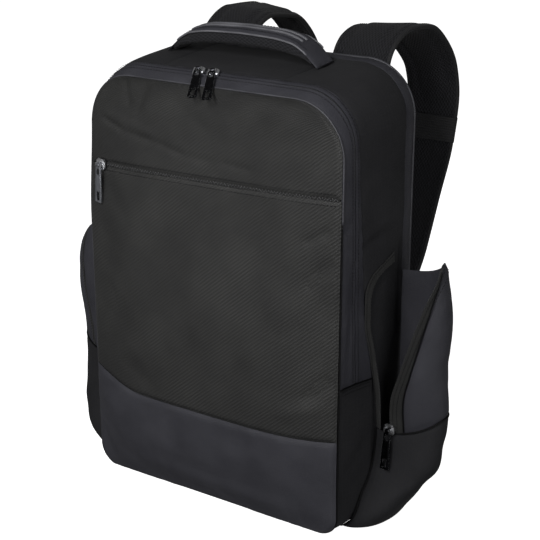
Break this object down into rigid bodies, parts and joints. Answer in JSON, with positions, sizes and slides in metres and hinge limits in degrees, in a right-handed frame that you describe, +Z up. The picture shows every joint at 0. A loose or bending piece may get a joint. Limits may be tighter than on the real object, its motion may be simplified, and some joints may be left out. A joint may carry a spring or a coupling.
{
  "type": "laptop backpack",
  "caption": "Free-standing laptop backpack with a gusset zip, a straight front zip, gusseted side pockets, a padded carrying handle and padded shoulder straps.",
  "frame": {"origin": "on the underside of the base, in the middle of the bag", "axes": "+Z up, -Y to the front with the straight zip, +Y to the wearer, +X to the side pocket that stands open"},
  "size_m": [0.4649, 0.3282, 0.4967],
  "materials": {
    "ripstop": "matte woven polyester with a fine rib",
    "coated": "polyurethane-coated fabric with a soft grain",
    "poly": "matte ripstop polyester",
    "mesh": "spacer mesh",
    "zipTape": "woven zip tape",
    "webbing": "flat woven webbing",
    "plastic": "satin moulded plastic",
    "metal": "black nickel plating"
  },
  "bodies": {
    "bag": {"gusset_front_band": "coated", "main_zip_tape": "zipTape", "gusset_zip_cover": "coated", "gusset_lower": "poly", "side_panel_right": "poly", "side_panel_left": "poly", "top_panel": "poly", "base_panel": "poly", "rear_band": "coated", "front_base_panel": "coated", "front_pocket_panel": "ripstop", "front_panel_upper": "ripstop", "front_zip_tape": "zipTape", "pocket_left_lower": "poly", "pocket_left_strip": "coated", "pocket_left_zip": "zipTape", "pocket_left_upper": "coated", "pocket_right_lower": "poly", "pocket_right_tape_flap": "zipTape", "pocket_right_upper": "coated", "pocket_right_tape_bag": "zipTape", "back_panel": "mesh", "back_pad_left": "mesh", "back_pad_right": "mesh", "handle_mesh": "mesh", "handle_top": "coated", "strap_left": "mesh", "strap_keeper_left": "webbing", "strap_buckle_left": "plastic", "strap_webbing_left": "webbing", "strap_anchor_left": "webbing", "strap_right": "mesh", "strap_keeper_right": "webbing", "strap_buckle_right": "plastic", "strap_webbing_right": "webbing", "strap_anchor_right": "webbing", "main_zip_slider_1": "metal", "main_zip_slider_2": "metal", "front_zip_slider": "metal", "pocket_right_slider": "metal", "pocket_left_slider": "metal"},
    "main_zip_pull_1_body": {"main_zip_pull_1": "metal"},
    "main_zip_pull_2_body": {"main_zip_pull_2": "metal"},
    "front_zip_pull_body": {"front_zip_pull": "metal"},
    "pocket_right_pull_body": {"pocket_right_pull": "metal"},
    "pocket_left_pull_body": {"pocket_left_pull": "metal"}
  },
  "joints": [
    {"name": "main_zip_pull_1_swing", "type": "hinge", "parent": "bag", "child": "main_zip_pull_1_body", "pos_m": [-0.02109, -0.05517, 0.46121], "axis": [-0.9172, -0.3669, -0.1556], "range_deg": [0, 150]},
    {"name": "main_zip_pull_2_swing", "type": "hinge", "parent": "bag", "child": "main_zip_pull_2_body", "pos_m": [-0.00383, -0.05517, 0.46121], "axis": [-0.9172, -0.3669, -0.1556], "range_deg": [0, 150]},
    {"name": "front_zip_pull_swing", "type": "hinge", "parent": "bag", "child": "front_zip_pull_body", "pos_m": [-0.13176, -0.08215, 0.35365], "axis": [-0.9827, 0.1426, 0.1179], "range_deg": [0, 150]},
    {"name": "pocket_right_pull_swing", "type": "hinge", "parent": "bag", "child": "pocket_right_pull_body", "pos_m": [0.17889, -0.01332, 0.10671], "axis": [-0.999, 0.0444, 0], "range_deg": [0, 120]},
    {"name": "pocket_left_pull_swing", "type": "hinge", "parent": "bag", "child": "pocket_left_pull_body", "pos_m": [-0.18769, 0.02082, 0.2745], "axis": [0.0338, 0.8703, -0.4914], "range_deg": [0, 120]}
  ]
}
